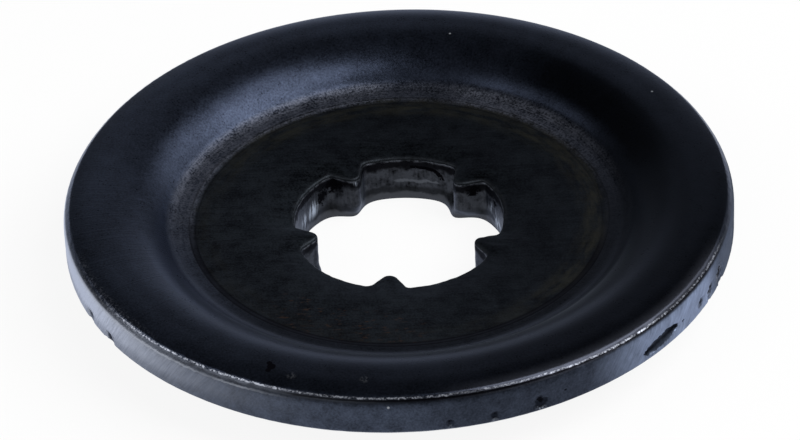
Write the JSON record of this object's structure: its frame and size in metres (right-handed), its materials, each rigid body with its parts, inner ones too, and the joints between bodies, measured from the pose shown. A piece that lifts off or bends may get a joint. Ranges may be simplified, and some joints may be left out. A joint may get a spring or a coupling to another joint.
{
  "type": "support flange",
  "caption": "Dished round steel flange with a star-shaped spline hole, clamping a brush-cutter blade against its drive disc.",
  "frame": {"origin": "on the axis of the star hole, on the flat face of the back boss", "axes": "+Z along the hole's axis, out of the dish; one tooth of the star hole points along -Y"},
  "size_m": [0.05, 0.05, 0.0068],
  "materials": {
    "black_oxide_steel": "satin black oxide over steel, oiled, rubbed bright along the rim's edge and with traces of brown rust in the dish"
  },
  "bodies": {
    "root": {"support_flange": "black_oxide_steel"}
  },
  "joints": []
}
